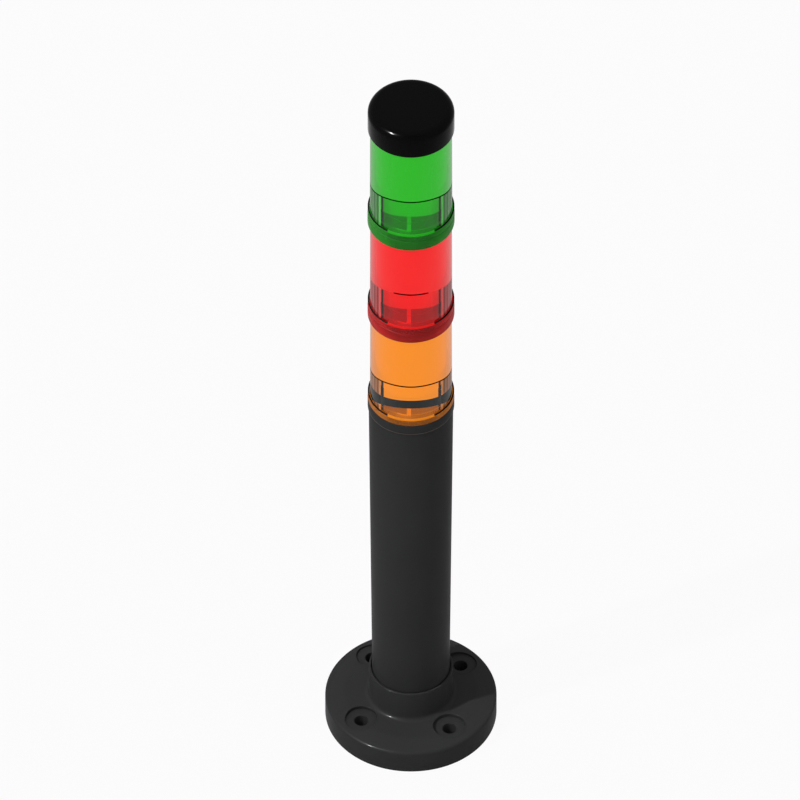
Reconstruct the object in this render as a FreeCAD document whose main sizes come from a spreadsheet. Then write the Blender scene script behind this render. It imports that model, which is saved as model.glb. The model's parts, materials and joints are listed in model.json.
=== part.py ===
import FreeCAD, Part
import os
import re
import Sketcher

# A three tier stack light on a round flange. The frame stands on the middle of the
# flange's underside, +Z up, with the front, where the grips face, towards -Y.
# Lengths are in millimetres and angles in degrees.

doc = FreeCAD.newDocument("stack_light")

# Driving dimensions

SIZES = {
    # Round the tiers, from the outside in
    "collar_radius": 20.0,
    "ring_proud": 0.08,
    "ring_wall": 2.08,
    "lens_step": 1.02,
    "lens_draft": 0.15,
    "lens_wall": 2.28,
    "diffuser_gap": 0.4,
    "diffuser_wall": 1.3,
    "skirt_gap": 1.4,
    "skirt_wall": 1.2,
    "spigot_gap": 1.05,
    "spigot_wall": 1.85,
    "fit_gap": 0.1,
    "running_gap": 0.3,
    # Up one tier, with heights counted from the joint face under it
    "tier_pitch": 60.0,
    "ring_height": 5.6,
    "collar_depth": 3.3,
    "grip_rise": 3.1,
    "grip_land": 0.4,
    "grip_angle": 66.0,
    "strip_width": 0.75,
    "strip_thickness": 0.7,
    "skirt_foot": 1.2,
    "seal_width": 0.8,
    "seal_thickness": 1.1,
    "web_height": 27.9,
    "web_thickness": 1.5,
    # Bayonet between tiers
    "spigot_height": 11.0,
    "crown_depth": 1.4,
    "crown_thickness": 1.6,
    "slot_turn": 265.4,
    "slot_width": 2.1,
    "twist_angle": 25.0,
    "lug_foot": 3.6,
    "lug_height": 2.2,
    "lug_width": 1.5,
    "lug_reach": 2.4,
    # Inside a tier
    "plate_gap": 0.6,
    "plate_height": 5.2,
    "plate_floor": 1.6,
    "carrier_flange": 0.6,
    "carrier_plug": 2.8,
    "board_gap": 1.2,
    "board_thickness": 1.6,
    "led_size": 3.4,
    "led_thickness": 1.4,
    "led_pitch": 8.0,
    "contact_inset": 3.2,
    "contact_size": 1.4,
    "contact_gap": 0.3,
    # Band round the lowest tier's skirt
    "band_foot": 15.2,
    "band_height": 4.4,
    "band_gap": 0.2,
    # Pole
    "pole_top": 202.2,
    "pole_step": 0.48,
    "pole_taper": 1.7,
    "pole_wall": 2.4,
    "pole_seat_height": 9.0,
    "pole_rebate_depth": 1.5,
    # Terminal carrier in the pole's mouth
    "cup_depth": 18.0,
    "cup_gap": 2.7,
    "cup_wall": 1.6,
    "terminal_gap": 3.4,
    "terminal_depth": 11.0,
    "terminal_height": 12.0,
    "terminal_pitch": 3.6,
    "wire_entry_radius": 1.1,
    "wire_entry_height": 4.0,
    "wire_entry_depth": 5.0,
    "terminal_screw_radius": 1.2,
    "terminal_screw_head": 0.8,
    # Hub and flange
    "socket_gap": 0.3,
    "mouth_gap": 0.2,
    "mouth_depth": 2.5,
    "hub_lip": 1.2,
    "hub_height": 30.4,
    "hub_edge_round": 0.9,
    "hub_foot_round": 2.4,
    "bolt_circle_inset": 9.7,
    "bolt_circle_turn": 37.9,
    "bolt_hole_radius": 3.3,
    "counterbore_radius": 7.65,
    "counterbore_depth": 1.85,
    "flange_margin": 10.7,
    "flange_rim_height": 12.0,
    "flange_height": 13.5,
    "flange_cone_width": 9.0,
    "flange_edge_round": 1.5,
    "cable_bore_radius": 9.0,
    "gasket_inset": 2.6,
    "gasket_width": 2.8,
    "gasket_thickness": 1.5,
    # Cap
    "cap_headroom": 0.7,
    "cap_roof": 1.8,
    "cap_edge_round": 3.9,
}

BOLTS = 4
LUGS = 3
GRIPS = 2
CONTACTS = 5
TERMINALS = 5
LED_ROWS = 3
FRONT = 270

# Sizes that follow from the driving ones, as formulas of the sheet

RING_RADIUS = "(collar_radius + ring_proud)"
RING_BORE = "(%s - ring_wall)" % RING_RADIUS
LIP_RADIUS = "(%s - running_gap)" % RING_BORE
LIP_FOOT = "(seal_thickness + running_gap)"
SEAL_RADIUS = "(%s - fit_gap)" % LIP_RADIUS
LENS_RADIUS = "(collar_radius - lens_step)"
LENS_TOP_RADIUS = "(%s - lens_draft)" % LENS_RADIUS
LENS_BORE = "(%s - lens_wall)" % LENS_RADIUS
COLLAR_HEIGHT = "(ring_height + collar_depth)"
GRIP_ROOT = "(%s - lens_wall / 2)" % LENS_RADIUS
SKIRT_RADIUS = "(%s - skirt_gap)" % LENS_BORE
SKIRT_BORE = "(%s - skirt_wall)" % SKIRT_RADIUS
SPIGOT_RADIUS = "(%s - spigot_gap)" % SKIRT_BORE
SPIGOT_BORE = "(%s - spigot_wall)" % SPIGOT_RADIUS
DIFFUSER_RADIUS = "(%s - diffuser_gap)" % LENS_BORE
DIFFUSER_BORE = "(%s - diffuser_wall)" % DIFFUSER_RADIUS
BAND_RADIUS = "(%s - band_gap)" % LENS_BORE
WEB_TOP = "(web_height + web_thickness)"
CROWN = "(spigot_height - crown_depth)"
LUG_TIP = "(%s - lug_reach)" % SKIRT_BORE
LUG_ROOT = "(%s - skirt_wall / 2)" % SKIRT_RADIUS
DEGREES = "(180 / pi / %s)" % SPIGOT_RADIUS
SLOT_ANGLE = "(slot_width * %s)" % DEGREES
LUG_ANGLE = "(lug_width * %s)" % DEGREES
LEG_ANGLE = "(twist_angle + (lug_width / 2 + running_gap + slot_width / 2) * %s)" % DEGREES
LEG_MIDDLE = "(%s / 2 - %s / 2)" % (SLOT_ANGLE, LEG_ANGLE)
LUG_TURN = "(slot_turn - twist_angle)"
PLATE_FOOT = "(spigot_height + plate_gap)"
PLATE_TOP = "(%s + plate_height)" % PLATE_FOOT
PLATE_FLOOR = "(%s + plate_floor)" % PLATE_FOOT
FLANGE_FOOT = "(tier_pitch - carrier_flange)"
PLUG_FOOT = "(tier_pitch - carrier_flange - carrier_plug)"
BOARD_HALF = "(%s - board_gap)" % SPIGOT_BORE
CONTACT_CIRCLE = "(%s - contact_inset)" % SPIGOT_BORE
POLE_TOP_RADIUS = "(%s - pole_step)" % RING_RADIUS
POLE_FOOT_RADIUS = "(%s - pole_taper)" % POLE_TOP_RADIUS
POLE_BORE = "(%s - pole_wall)" % POLE_TOP_RADIUS
REBATE_RADIUS = "(%s - fit_gap / 2)" % RING_BORE
CUP_RADIUS = "(%s - cup_gap)" % POLE_BORE
CUP_BORE = "(%s - cup_wall)" % CUP_RADIUS
TERMINAL_HALF = "(%s - terminal_gap)" % CUP_BORE
TERMINAL_FOOT = "(pole_top - cup_wall - terminal_height)"
SOCKET_RADIUS = "(%s + socket_gap)" % POLE_FOOT_RADIUS
MOUTH_RADIUS = "(%s + mouth_gap)" % SOCKET_RADIUS
HUB_RADIUS = "(%s + hub_lip)" % MOUTH_RADIUS
BOLT_CIRCLE = "(%s + bolt_circle_inset)" % HUB_RADIUS
FLANGE_RADIUS = "(%s + flange_margin)" % BOLT_CIRCLE
GASKET_OUTSIDE = "(%s - gasket_inset)" % FLANGE_RADIUS
GASKET_INSIDE = "(%s - gasket_width)" % GASKET_OUTSIDE
CAP_CEILING = "(spigot_height + cap_headroom)"
CAP_HEIGHT = "(%s + cap_roof)" % CAP_CEILING

sheet = doc.addObject("Spreadsheet::Sheet", "sizes")
for row, (alias, number) in enumerate(SIZES.items(), start=1):
    sheet.set("A%d" % row, alias)
    sheet.set("B%d" % row, str(number))
    sheet.setAlias("B%d" % row, alias)
doc.recompute()


def bound(formula):
    """Name each size in a formula as a cell of the sheet."""
    return re.sub(r"[a-z][a-z_]{2,}", lambda word: "sizes." + word.group(), str(formula))


def value(owner, formula):
    """The number that a formula has now."""
    number = owner.evalExpression(bound(formula))
    return float(getattr(number, "Value", number))


def body(name, height="0", turn="0"):
    """Start a sub-part whose frame stands at a height and is turned about Z."""
    piece = doc.addObject("PartDesign::Body", name)
    piece.Label = name
    piece.setExpression("Placement.Base.z", bound(height))
    piece.setExpression("Placement.Rotation.Angle", bound(turn))
    return piece


def plane(piece, role):
    """One of a body's own origin planes or axes."""
    return next(item for item in piece.Origin.OriginFeatures if item.Role == role)


def sketch_on(piece, role, turn="0", lift="0"):
    """A sketch on an origin plane, turned about its own vertical and lifted off it."""
    sketch = piece.newObject("Sketcher::SketchObject", piece.Name + "_sketch")
    sketch.AttachmentSupport = (plane(piece, role), [""])
    sketch.MapMode = "FlatFace"
    sketch.AttachmentOffset = FreeCAD.Placement(
        FreeCAD.Vector(0, 0, 0), FreeCAD.Rotation(FreeCAD.Vector(0, 1, 0), 0))
    if turn != "0":
        sketch.setExpression("AttachmentOffset.Rotation.Angle", bound(turn))
    if lift != "0":
        sketch.setExpression("AttachmentOffset.Base.z", bound(lift))
    return sketch


def pin(sketch, kind, target, formula, point=None):
    """Hold one distance of a sketch at a formula."""
    number = value(sketch, formula)
    if point is None:
        index = sketch.addConstraint(Sketcher.Constraint(kind, target, number))
    elif abs(number) < 1e-9:
        axis = -2 if kind == "DistanceX" else -1
        sketch.addConstraint(Sketcher.Constraint("PointOnObject", target, point, axis))
        return
    else:
        index = sketch.addConstraint(
            Sketcher.Constraint(kind, -1, 1, target, point, number))
    sketch.setExpression("Constraints[%d]" % index, bound(formula))


def outline(sketch, corners):
    """A closed outline of straight edges whose corners are pairs of formulas."""
    first = sketch.GeometryCount
    count = len(corners)
    spots = [FreeCAD.Vector(value(sketch, x), value(sketch, y), 0) for x, y in corners]
    for number in range(count):
        edge = Part.LineSegment(spots[number], spots[(number + 1) % count])
        sketch.addGeometry(edge, False)
    for number in range(count):
        sketch.addConstraint(Sketcher.Constraint(
            "Coincident", first + number, 2, first + (number + 1) % count, 1))
    for number, (x, y) in enumerate(corners):
        pin(sketch, "DistanceX", first + number, x, 1)
        pin(sketch, "DistanceY", first + number, y, 1)


def circle(sketch, x, y, radius):
    """A circle at a pair of formulas."""
    centre = FreeCAD.Vector(value(sketch, x), value(sketch, y), 0)
    geometry = Part.Circle(centre, FreeCAD.Vector(0, 0, 1), value(sketch, radius))
    index = sketch.addGeometry(geometry, False)
    pin(sketch, "Radius", index, radius)
    pin(sketch, "DistanceX", index, x, 3)
    pin(sketch, "DistanceY", index, y, 3)


def box(left, foot, right, top):
    """The corners of an upright rectangle."""
    return [(left, foot), (right, foot), (right, top), (left, top)]


def checked(piece, feature, cut, before):
    """Recompute, and see that a feature added or took material as it should."""
    doc.recompute()
    after = piece.Shape.Volume
    if (after >= before) if cut else (after <= before):
        raise RuntimeError("%s of %s changed nothing" % (feature.Name, piece.Name))
    return feature


def volume(piece):
    """The volume of a body so far."""
    return 0.0 if piece.Shape.isNull() else piece.Shape.Volume


def turned(piece, corners, cut=False, angle="360", turn="0"):
    """Revolve an outline of (radius, height) corners about the body's axis."""
    before = volume(piece)
    sketch = sketch_on(piece, "XZ_Plane", turn)
    outline(sketch, corners)
    kind = "PartDesign::Groove" if cut else "PartDesign::Revolution"
    feature = piece.newObject(kind, piece.Name + ("_groove" if cut else "_turning"))
    feature.Profile = sketch
    feature.ReferenceAxis = (sketch, ["V_Axis"])
    if angle == "360":
        feature.Angle = 360
    else:
        feature.Midplane = True
        feature.setExpression("Angle", bound(angle))
    return checked(piece, feature, cut, before)


def raised(piece, draw, foot, length, cut=False, role="XY_Plane"):
    """Pad a drawing up from a height, or pocket it down from there."""
    before = volume(piece)
    sketch = sketch_on(piece, role, lift=foot)
    draw(sketch)
    kind = "PartDesign::Pocket" if cut else "PartDesign::Pad"
    feature = piece.newObject(kind, piece.Name + ("_pocket" if cut else "_pad"))
    feature.Profile = sketch
    feature.setExpression("Length", bound(length))
    return checked(piece, feature, cut, before)


def repeated(piece, feature, count, cut=False):
    """Repeat a feature evenly round the body's axis."""
    before = volume(piece)
    pattern = piece.newObject("PartDesign::PolarPattern", piece.Name + "_pattern")
    pattern.Originals = [feature]
    pattern.Axis = (plane(piece, "Z_Axis"), [""])
    pattern.Angle = 360
    pattern.Occurrences = count
    piece.Tip = pattern
    return checked(piece, pattern, cut, before)


def rounded(piece, radius, spots):
    """Round the circular edges that lie at pairs of (radius, height) formulas."""
    wanted = [(value(piece, r), value(piece, z)) for r, z in spots]
    base = piece.Tip
    names = []
    for number, edge in enumerate(base.Shape.Edges, start=1):
        if not isinstance(edge.Curve, Part.Circle):
            continue
        on_axis = abs(edge.Curve.Center.x) < 1e-6 and abs(edge.Curve.Center.y) < 1e-6
        size = (edge.Curve.Radius, edge.Curve.Center.z)
        if on_axis and any(abs(size[0] - r) < 1e-4 and abs(size[1] - z) < 1e-4
                           for r, z in wanted):
            names.append("Edge%d" % number)
    if len(names) < len(wanted):
        raise RuntimeError("an edge of %s was not found" % piece.Name)
    fillet = piece.newObject("PartDesign::Fillet", piece.Name + "_fillet")
    fillet.Base = (base, names)
    fillet.setExpression("Radius", bound(radius))
    piece.Tip = fillet
    doc.recompute()
    return fillet


# Flange, with the socket for the pole

def mounting_flange():
    """The moulded foot: a disc with a slightly coned top and a hub that holds the pole."""
    piece = body("mounting_flange", turn="bolt_circle_turn")
    turned(piece, [
        ("cable_bore_radius", "0"),
        (FLANGE_RADIUS, "0"),
        (FLANGE_RADIUS, "flange_rim_height"),
        ("%s - flange_cone_width" % FLANGE_RADIUS, "flange_height"),
        (HUB_RADIUS, "flange_height"),
        (HUB_RADIUS, "hub_height"),
        (MOUTH_RADIUS, "hub_height"),
        (MOUTH_RADIUS, "hub_height - mouth_depth"),
        (SOCKET_RADIUS, "hub_height - mouth_depth"),
        (SOCKET_RADIUS, "pole_seat_height"),
        ("cable_bore_radius", "pole_seat_height"),
    ])
    rounded(piece, "flange_edge_round", [(FLANGE_RADIUS, "flange_rim_height")])
    rounded(piece, "hub_foot_round", [(HUB_RADIUS, "flange_height")])
    rounded(piece, "hub_edge_round", [(HUB_RADIUS, "hub_height")])
    turned(piece, box("%s - running_gap" % GASKET_INSIDE, "0",
                      "%s + running_gap" % GASKET_OUTSIDE, "gasket_thickness"), cut=True)
    hole = raised(piece, lambda sketch: circle(
        sketch, BOLT_CIRCLE, "0", "bolt_hole_radius"),
        "flange_height", "flange_height", cut=True)
    repeated(piece, hole, BOLTS, cut=True)
    counterbore = raised(piece, lambda sketch: circle(
        sketch, BOLT_CIRCLE, "0", "counterbore_radius"),
        "flange_height", "counterbore_depth", cut=True)
    repeated(piece, counterbore, BOLTS, cut=True)
    return piece


def flange_gasket():
    """A flat rubber ring let into the underside, flush with it."""
    piece = body("flange_gasket")
    turned(piece, box(GASKET_INSIDE, "0", GASKET_OUTSIDE, "gasket_thickness"))
    return piece


# Pole

def pole():
    """A tapered tube with a rebate in its mouth for the terminal carrier."""
    piece = body("pole")
    turned(piece, [
        ("%s - pole_wall" % POLE_FOOT_RADIUS, "pole_seat_height"),
        (POLE_FOOT_RADIUS, "pole_seat_height"),
        (POLE_TOP_RADIUS, "pole_top"),
        (REBATE_RADIUS, "pole_top"),
        (REBATE_RADIUS, "pole_top - pole_rebate_depth"),
        (POLE_BORE, "pole_top - pole_rebate_depth"),
    ])
    return piece


def locking_ring(name, height):
    """The plain ring between two tiers, outside the tier's lip."""
    piece = body(name, height)
    turned(piece, box(RING_BORE, "0", RING_RADIUS, "ring_height"))
    return piece


# Bayonet, on the terminal carrier and on every tier

def spigot(piece, foot):
    """A tube with a crown let into it and a slot with a side leg for each lug."""
    crown = "(%s + %s)" % (foot, CROWN)
    top = "(%s + spigot_height)" % foot
    turned(piece, [
        ("0", "%s - crown_thickness" % crown),
        (SPIGOT_BORE, "%s - crown_thickness" % crown),
        (SPIGOT_BORE, foot),
        (SPIGOT_RADIUS, foot),
        (SPIGOT_RADIUS, top),
        (SPIGOT_BORE, top),
        (SPIGOT_BORE, crown),
        ("0", crown),
    ])
    slot_foot = "(%s + lug_foot - running_gap)" % foot
    leg_top = "(%s + lug_foot + lug_height + running_gap)" % foot
    outside = "(%s + fit_gap)" % SPIGOT_RADIUS
    slot = turned(piece, box(SPIGOT_BORE, slot_foot, outside, "%s + fit_gap" % top),
                  cut=True, angle=SLOT_ANGLE)
    repeated(piece, slot, LUGS, cut=True)
    leg = turned(piece, box(SPIGOT_BORE, slot_foot, outside, leg_top),
                 cut=True, angle=LEG_ANGLE, turn=LEG_MIDDLE)
    repeated(piece, leg, LUGS, cut=True)


def lugs(piece):
    """The lugs inside a skirt, at the far end of the spigot's side legs when locked."""
    lug = turned(piece, box(LUG_TIP, "lug_foot", LUG_ROOT, "lug_foot + lug_height"),
                 angle=LUG_ANGLE, turn=LUG_TURN)
    repeated(piece, lug, LUGS)


def terminal_carrier():
    """The part that hangs in the pole's mouth, with the lowest spigot on top."""
    piece = body("terminal_carrier", "pole_top", "slot_turn")
    rim = "(%s - fit_gap)" % REBATE_RADIUS
    turned(piece, [
        (SPIGOT_BORE, "0"),
        (SPIGOT_BORE, "-cup_wall"),
        (CUP_BORE, "-cup_wall"),
        (CUP_BORE, "-cup_depth"),
        (CUP_RADIUS, "-cup_depth"),
        (CUP_RADIUS, "-pole_rebate_depth"),
        (rim, "-pole_rebate_depth"),
        (rim, "0"),
    ])
    spigot(piece, "0")
    return piece


def terminal_places():
    """The places of the terminals across the block."""
    middle = (TERMINALS - 1) / 2
    return ["(%g) * terminal_pitch" % (number - middle) for number in range(TERMINALS)]


def terminal_block():
    """The block under the carrier's flange, with an entry in front for each wire."""
    piece = body("terminal_block", TERMINAL_FOOT)
    deep = "terminal_depth / 2"
    raised(piece, lambda sketch: outline(
        sketch, box("-" + TERMINAL_HALF, "-" + deep, TERMINAL_HALF, deep)),
        "0", "terminal_height")

    def draw(sketch):
        for place in terminal_places():
            circle(sketch, place, "wire_entry_height", "wire_entry_radius")

    raised(piece, draw, deep, "wire_entry_depth", cut=True, role="XZ_Plane")
    return piece


def terminal_screws():
    """One screw head for each wire, on the block's underside."""
    piece = body("terminal_screws", "%s - terminal_screw_head" % TERMINAL_FOOT)

    def draw(sketch):
        for place in terminal_places():
            circle(sketch, place, "0", "terminal_screw_radius")

    raised(piece, draw, "0", "terminal_screw_head")
    return piece


def contact_pins(name, height):
    """Spring contacts on a spigot's crown."""
    piece = body(name, height, "slot_turn")
    near = "%s - contact_size / 2" % CONTACT_CIRCLE
    far = "%s + contact_size / 2" % CONTACT_CIRCLE
    side = "contact_size / 2"
    contact = raised(piece, lambda sketch: outline(
        sketch, box(near, "-" + side, far, side)), CROWN, "crown_depth")
    repeated(piece, contact, CONTACTS)
    return piece


def seal(name, height):
    """The flat ring that the next tier's lip comes down over."""
    piece = body(name, height)
    turned(piece, box("%s - seal_width" % SEAL_RADIUS, "0", SEAL_RADIUS, "seal_thickness"))
    return piece


# One tier

def lens(name, height):
    """The coloured moulding: wall, lip, collar with two grips, web and lugged skirt."""
    piece = body(name, height)
    turned(piece, [
        (LENS_BORE, LIP_FOOT),
        (LIP_RADIUS, LIP_FOOT),
        (LIP_RADIUS, "ring_height"),
        ("collar_radius", "ring_height"),
        ("collar_radius", COLLAR_HEIGHT),
        (LENS_RADIUS, COLLAR_HEIGHT),
        (LENS_TOP_RADIUS, "tier_pitch"),
        (LENS_BORE, "tier_pitch"),
        (LENS_BORE, WEB_TOP),
        (SPIGOT_BORE, WEB_TOP),
        (SPIGOT_BORE, "web_height"),
        (SKIRT_BORE, "web_height"),
        (SKIRT_BORE, "skirt_foot"),
        (SKIRT_RADIUS, "skirt_foot"),
        (SKIRT_RADIUS, "web_height"),
        (LENS_BORE, "web_height"),
    ])
    grip = turned(piece, [
        (GRIP_ROOT, COLLAR_HEIGHT),
        ("collar_radius", COLLAR_HEIGHT),
        ("collar_radius", "%s + grip_land" % COLLAR_HEIGHT),
        ("%s - lens_draft / 2" % LENS_RADIUS, "%s + grip_rise" % COLLAR_HEIGHT),
        (GRIP_ROOT, "%s + grip_rise" % COLLAR_HEIGHT),
    ], angle="grip_angle", turn=FRONT)
    repeated(piece, grip, GRIPS)
    lugs(piece)
    return piece


def edge_strips(name, height):
    """Two black strips that lie on the collar's ledge between the grips."""
    piece = body(name, height)
    strip = turned(piece, box("collar_radius - strip_width", COLLAR_HEIGHT,
                              "collar_radius", "%s + strip_thickness" % COLLAR_HEIGHT),
                   angle="180 - grip_angle")
    repeated(piece, strip, GRIPS)
    return piece


def diffuser(name, height):
    """The white tube that spreads the light, standing on the web."""
    piece = body(name, height)
    turned(piece, box(DIFFUSER_BORE, WEB_TOP, DIFFUSER_RADIUS, FLANGE_FOOT))
    return piece


def board_holder(name, height):
    """The white sleeve under the web that the board passes through."""
    piece = body(name, height)
    turned(piece, box(SPIGOT_BORE, PLATE_TOP, SPIGOT_RADIUS, "web_height"))
    return piece


def contact_plate(name, height):
    """The grey cup that meets the spigot below, notched in line with its slot."""
    piece = body(name, height, "slot_turn")
    turned(piece, [
        ("0", PLATE_FOOT),
        (SPIGOT_RADIUS, PLATE_FOOT),
        (SPIGOT_RADIUS, PLATE_TOP),
        (SPIGOT_BORE, PLATE_TOP),
        (SPIGOT_BORE, PLATE_FLOOR),
        ("0", PLATE_FLOOR),
    ])
    notch = turned(piece, box(SPIGOT_BORE, "%s - fit_gap" % PLATE_FOOT,
                              "%s + fit_gap" % SPIGOT_RADIUS, "%s + fit_gap" % PLATE_TOP),
                   cut=True, angle=SLOT_ANGLE)
    repeated(piece, notch, LUGS, cut=True)
    return piece


def contact_pads(name, height):
    """Flat contacts on the plate's underside, one over each spring contact."""
    piece = body(name, height, "slot_turn")
    near = "%s - contact_size" % CONTACT_CIRCLE
    far = "%s + contact_size" % CONTACT_CIRCLE
    foot = "(spigot_height + contact_gap)"
    pad = raised(piece, lambda sketch: outline(
        sketch, box(near, "-contact_size", far, "contact_size")),
        foot, "%s - %s" % (PLATE_FOOT, foot))
    repeated(piece, pad, CONTACTS)
    return piece


def circuit_board(name, height):
    """The upright board that carries the lamps and passes the lines on upwards."""
    piece = body(name, height)
    side = "board_thickness / 2"
    raised(piece, lambda sketch: outline(
        sketch, box("-" + BOARD_HALF, "-" + side, BOARD_HALF, side)),
        PLATE_FLOOR, "%s - %s" % (PLUG_FOOT, PLATE_FLOOR))
    return piece


def leds(name, height):
    """Lamps in two columns on both faces of the board."""
    piece = body(name, height)
    middle = "((%s + %s) / 2)" % (WEB_TOP, PLUG_FOOT)

    def draw(sketch):
        for column in (-0.5, 0.5):
            for row in range(LED_ROWS):
                x = "(%g) * led_pitch" % column
                y = "%s + (%g) * led_pitch" % (middle, row - (LED_ROWS - 1) / 2)
                outline(sketch, box(x + " - led_size / 2", y + " - led_size / 2",
                                    x + " + led_size / 2", y + " + led_size / 2"))

    lamps = raised(piece, draw, "board_thickness / 2", "led_thickness", role="XZ_Plane")
    repeated(piece, lamps, 2)
    return piece


def contact_carrier(name, height):
    """The tier's top: a flange on the diffuser, a plug inside it and a spigot above."""
    piece = body(name, height, "slot_turn")
    plug = "(%s - fit_gap)" % DIFFUSER_BORE
    turned(piece, [
        ("0", PLUG_FOOT),
        (plug, PLUG_FOOT),
        (plug, FLANGE_FOOT),
        (DIFFUSER_RADIUS, FLANGE_FOOT),
        (DIFFUSER_RADIUS, "tier_pitch"),
        ("0", "tier_pitch"),
    ])
    spigot(piece, "tier_pitch")
    return piece


def tier(colour, height):
    """All the pieces of one tier that stands at a height."""
    top = "%s + tier_pitch" % height
    return [
        lens(colour + "_lens", height),
        edge_strips(colour + "_edge_strips", height),
        diffuser(colour + "_diffuser", height),
        board_holder(colour + "_board_holder", height),
        contact_plate(colour + "_contact_plate", height),
        contact_pads(colour + "_contact_pads", height),
        circuit_board(colour + "_circuit_board", height),
        leds(colour + "_leds", height),
        contact_carrier(colour + "_contact_carrier", height),
        contact_pins(colour + "_contact_pins", top),
        seal(colour + "_seal", top),
    ]


def skirt_band(name, height):
    """The black band round the lowest tier's skirt."""
    piece = body(name, height)
    turned(piece, box("%s + fit_gap" % SKIRT_RADIUS, "band_foot",
                      BAND_RADIUS, "band_foot + band_height"))
    return piece


# Cap

def cap(height):
    """The closed cap, with the same lugged skirt as a tier."""
    piece = body("cap", height)
    turned(piece, [
        ("0", CAP_CEILING),
        (SKIRT_BORE, CAP_CEILING),
        (SKIRT_BORE, "skirt_foot"),
        (SKIRT_RADIUS, "skirt_foot"),
        (SKIRT_RADIUS, CAP_CEILING),
        (RING_BORE, CAP_CEILING),
        (RING_BORE, "0"),
        ("collar_radius", "0"),
        ("collar_radius", CAP_HEIGHT),
        ("0", CAP_HEIGHT),
    ])
    rounded(piece, "cap_edge_round", [("collar_radius", CAP_HEIGHT)])
    lugs(piece)
    return piece


heights = ["pole_top", "pole_top + tier_pitch", "pole_top + 2 * tier_pitch"]
pieces = [
    mounting_flange(),
    flange_gasket(),
    pole(),
    locking_ring("base_ring", heights[0]),
    terminal_carrier(),
    terminal_block(),
    terminal_screws(),
    contact_pins("base_contact_pins", heights[0]),
    seal("base_seal", heights[0]),
]
for colour, height in zip(("amber", "red", "green"), heights):
    pieces += tier(colour, height)
pieces.append(skirt_band("amber_skirt_band", heights[0]))
pieces.append(locking_ring("red_locking_ring", heights[1]))
pieces.append(locking_ring("green_locking_ring", heights[2]))
pieces.append(cap("pole_top + 3 * tier_pitch"))

# Check and write every piece

doc.recompute()
for item in doc.Objects:
    if "Invalid" in item.State or "Error" in item.State:
        raise RuntimeError("%s failed: %s" % (item.Name, item.State))
os.makedirs("parts", exist_ok=True)
for piece in pieces:
    if piece.Shape.isNull() or not piece.Shape.isValid():
        raise RuntimeError("%s has no valid shape" % piece.Label)
    piece.Shape.exportStep("parts/%s.step" % piece.Label)
print("%d pieces written" % len(pieces))
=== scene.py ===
import json
import math

import bmesh
import bpy
from mathutils import Matrix, Vector

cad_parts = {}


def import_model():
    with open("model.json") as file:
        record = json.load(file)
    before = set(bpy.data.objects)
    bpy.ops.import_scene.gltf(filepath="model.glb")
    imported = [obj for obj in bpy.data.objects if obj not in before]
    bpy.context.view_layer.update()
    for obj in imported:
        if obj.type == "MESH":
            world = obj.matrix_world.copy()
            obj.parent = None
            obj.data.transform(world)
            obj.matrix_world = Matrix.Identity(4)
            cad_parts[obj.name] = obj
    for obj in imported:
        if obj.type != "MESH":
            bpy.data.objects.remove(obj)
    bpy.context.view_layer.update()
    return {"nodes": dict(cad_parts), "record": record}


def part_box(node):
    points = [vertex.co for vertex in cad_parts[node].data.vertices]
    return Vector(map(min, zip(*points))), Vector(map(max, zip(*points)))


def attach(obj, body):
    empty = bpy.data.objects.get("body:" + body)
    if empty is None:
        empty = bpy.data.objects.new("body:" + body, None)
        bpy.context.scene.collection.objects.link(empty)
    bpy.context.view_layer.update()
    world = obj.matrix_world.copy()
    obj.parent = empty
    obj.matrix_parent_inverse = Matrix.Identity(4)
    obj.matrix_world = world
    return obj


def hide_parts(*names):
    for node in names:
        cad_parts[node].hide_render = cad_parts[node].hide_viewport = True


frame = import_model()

nodes = frame["nodes"]
scene = bpy.context.scene

MM = 0.001
COLOURS = ("amber", "red", "green")
FRONT = -math.pi / 2
STEPS = 240
BACKDROP = (0.975, 0.966, 0.975, 1)

# Sizes read from the frame

flange_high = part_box("mounting_flange")[1]
pole_low, pole_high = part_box("pole")
cap_low, cap_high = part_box("cap")
ring_low, ring_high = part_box("base_ring")
strip_low, strip_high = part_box("amber_edge_strips")

TIER_FOOT = ring_low.z
TIER_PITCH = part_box("amber_lens")[1].z - ring_low.z
RING_RADIUS = ring_high.x
RING_HEIGHT = ring_high.z - ring_low.z
COLLAR_RADIUS = strip_high.x
COLLAR_HEIGHT = strip_low.z - ring_low.z
WEB_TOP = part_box("amber_diffuser")[0].z - ring_low.z
WEB_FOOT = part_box("amber_board_holder")[1].z - ring_low.z
HUB_HEIGHT = flange_high.z

# Sizes of the CAD that its boxes don't show

LIP_FOOT = 1.4 * MM
LIP_RADIUS = 17.7 * MM
RING_BORE = 18.0 * MM
LENS_RADIUS = 18.98 * MM
LENS_TOP_RADIUS = 18.83 * MM
LENS_BORE = 16.7 * MM
SKIRT_RADIUS = 15.3 * MM
SKIRT_BORE = 14.1 * MM
SKIRT_FOOT = 1.2 * MM
SLEEVE_BORE = 11.2 * MM
DIFFUSER_BORE = 15.0 * MM
BAND_BORE_GAP = 0.1 * MM
GRIP_HALF_ANGLE = math.radians(33.0)
GRIP_RISE = 3.1 * MM
GRIP_LAND = 0.4 * MM
POLE_WALL = 2.4 * MM
POLE_FOOT_RADIUS = 17.9 * MM
POLE_REBATE_RADIUS = 17.95 * MM
POLE_REBATE_DEPTH = 1.5 * MM
CAP_ROOF = 1.8 * MM
HOLES = 4
HOLE_TURN = 37.9
HOLE_CIRCLE = 29.3

# Strips on the ledge, put in as a dark shadow line, ribs on the grips, and black bars on the
# skirt, put in as streaks of shade, as (foot, height) in mm

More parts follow.
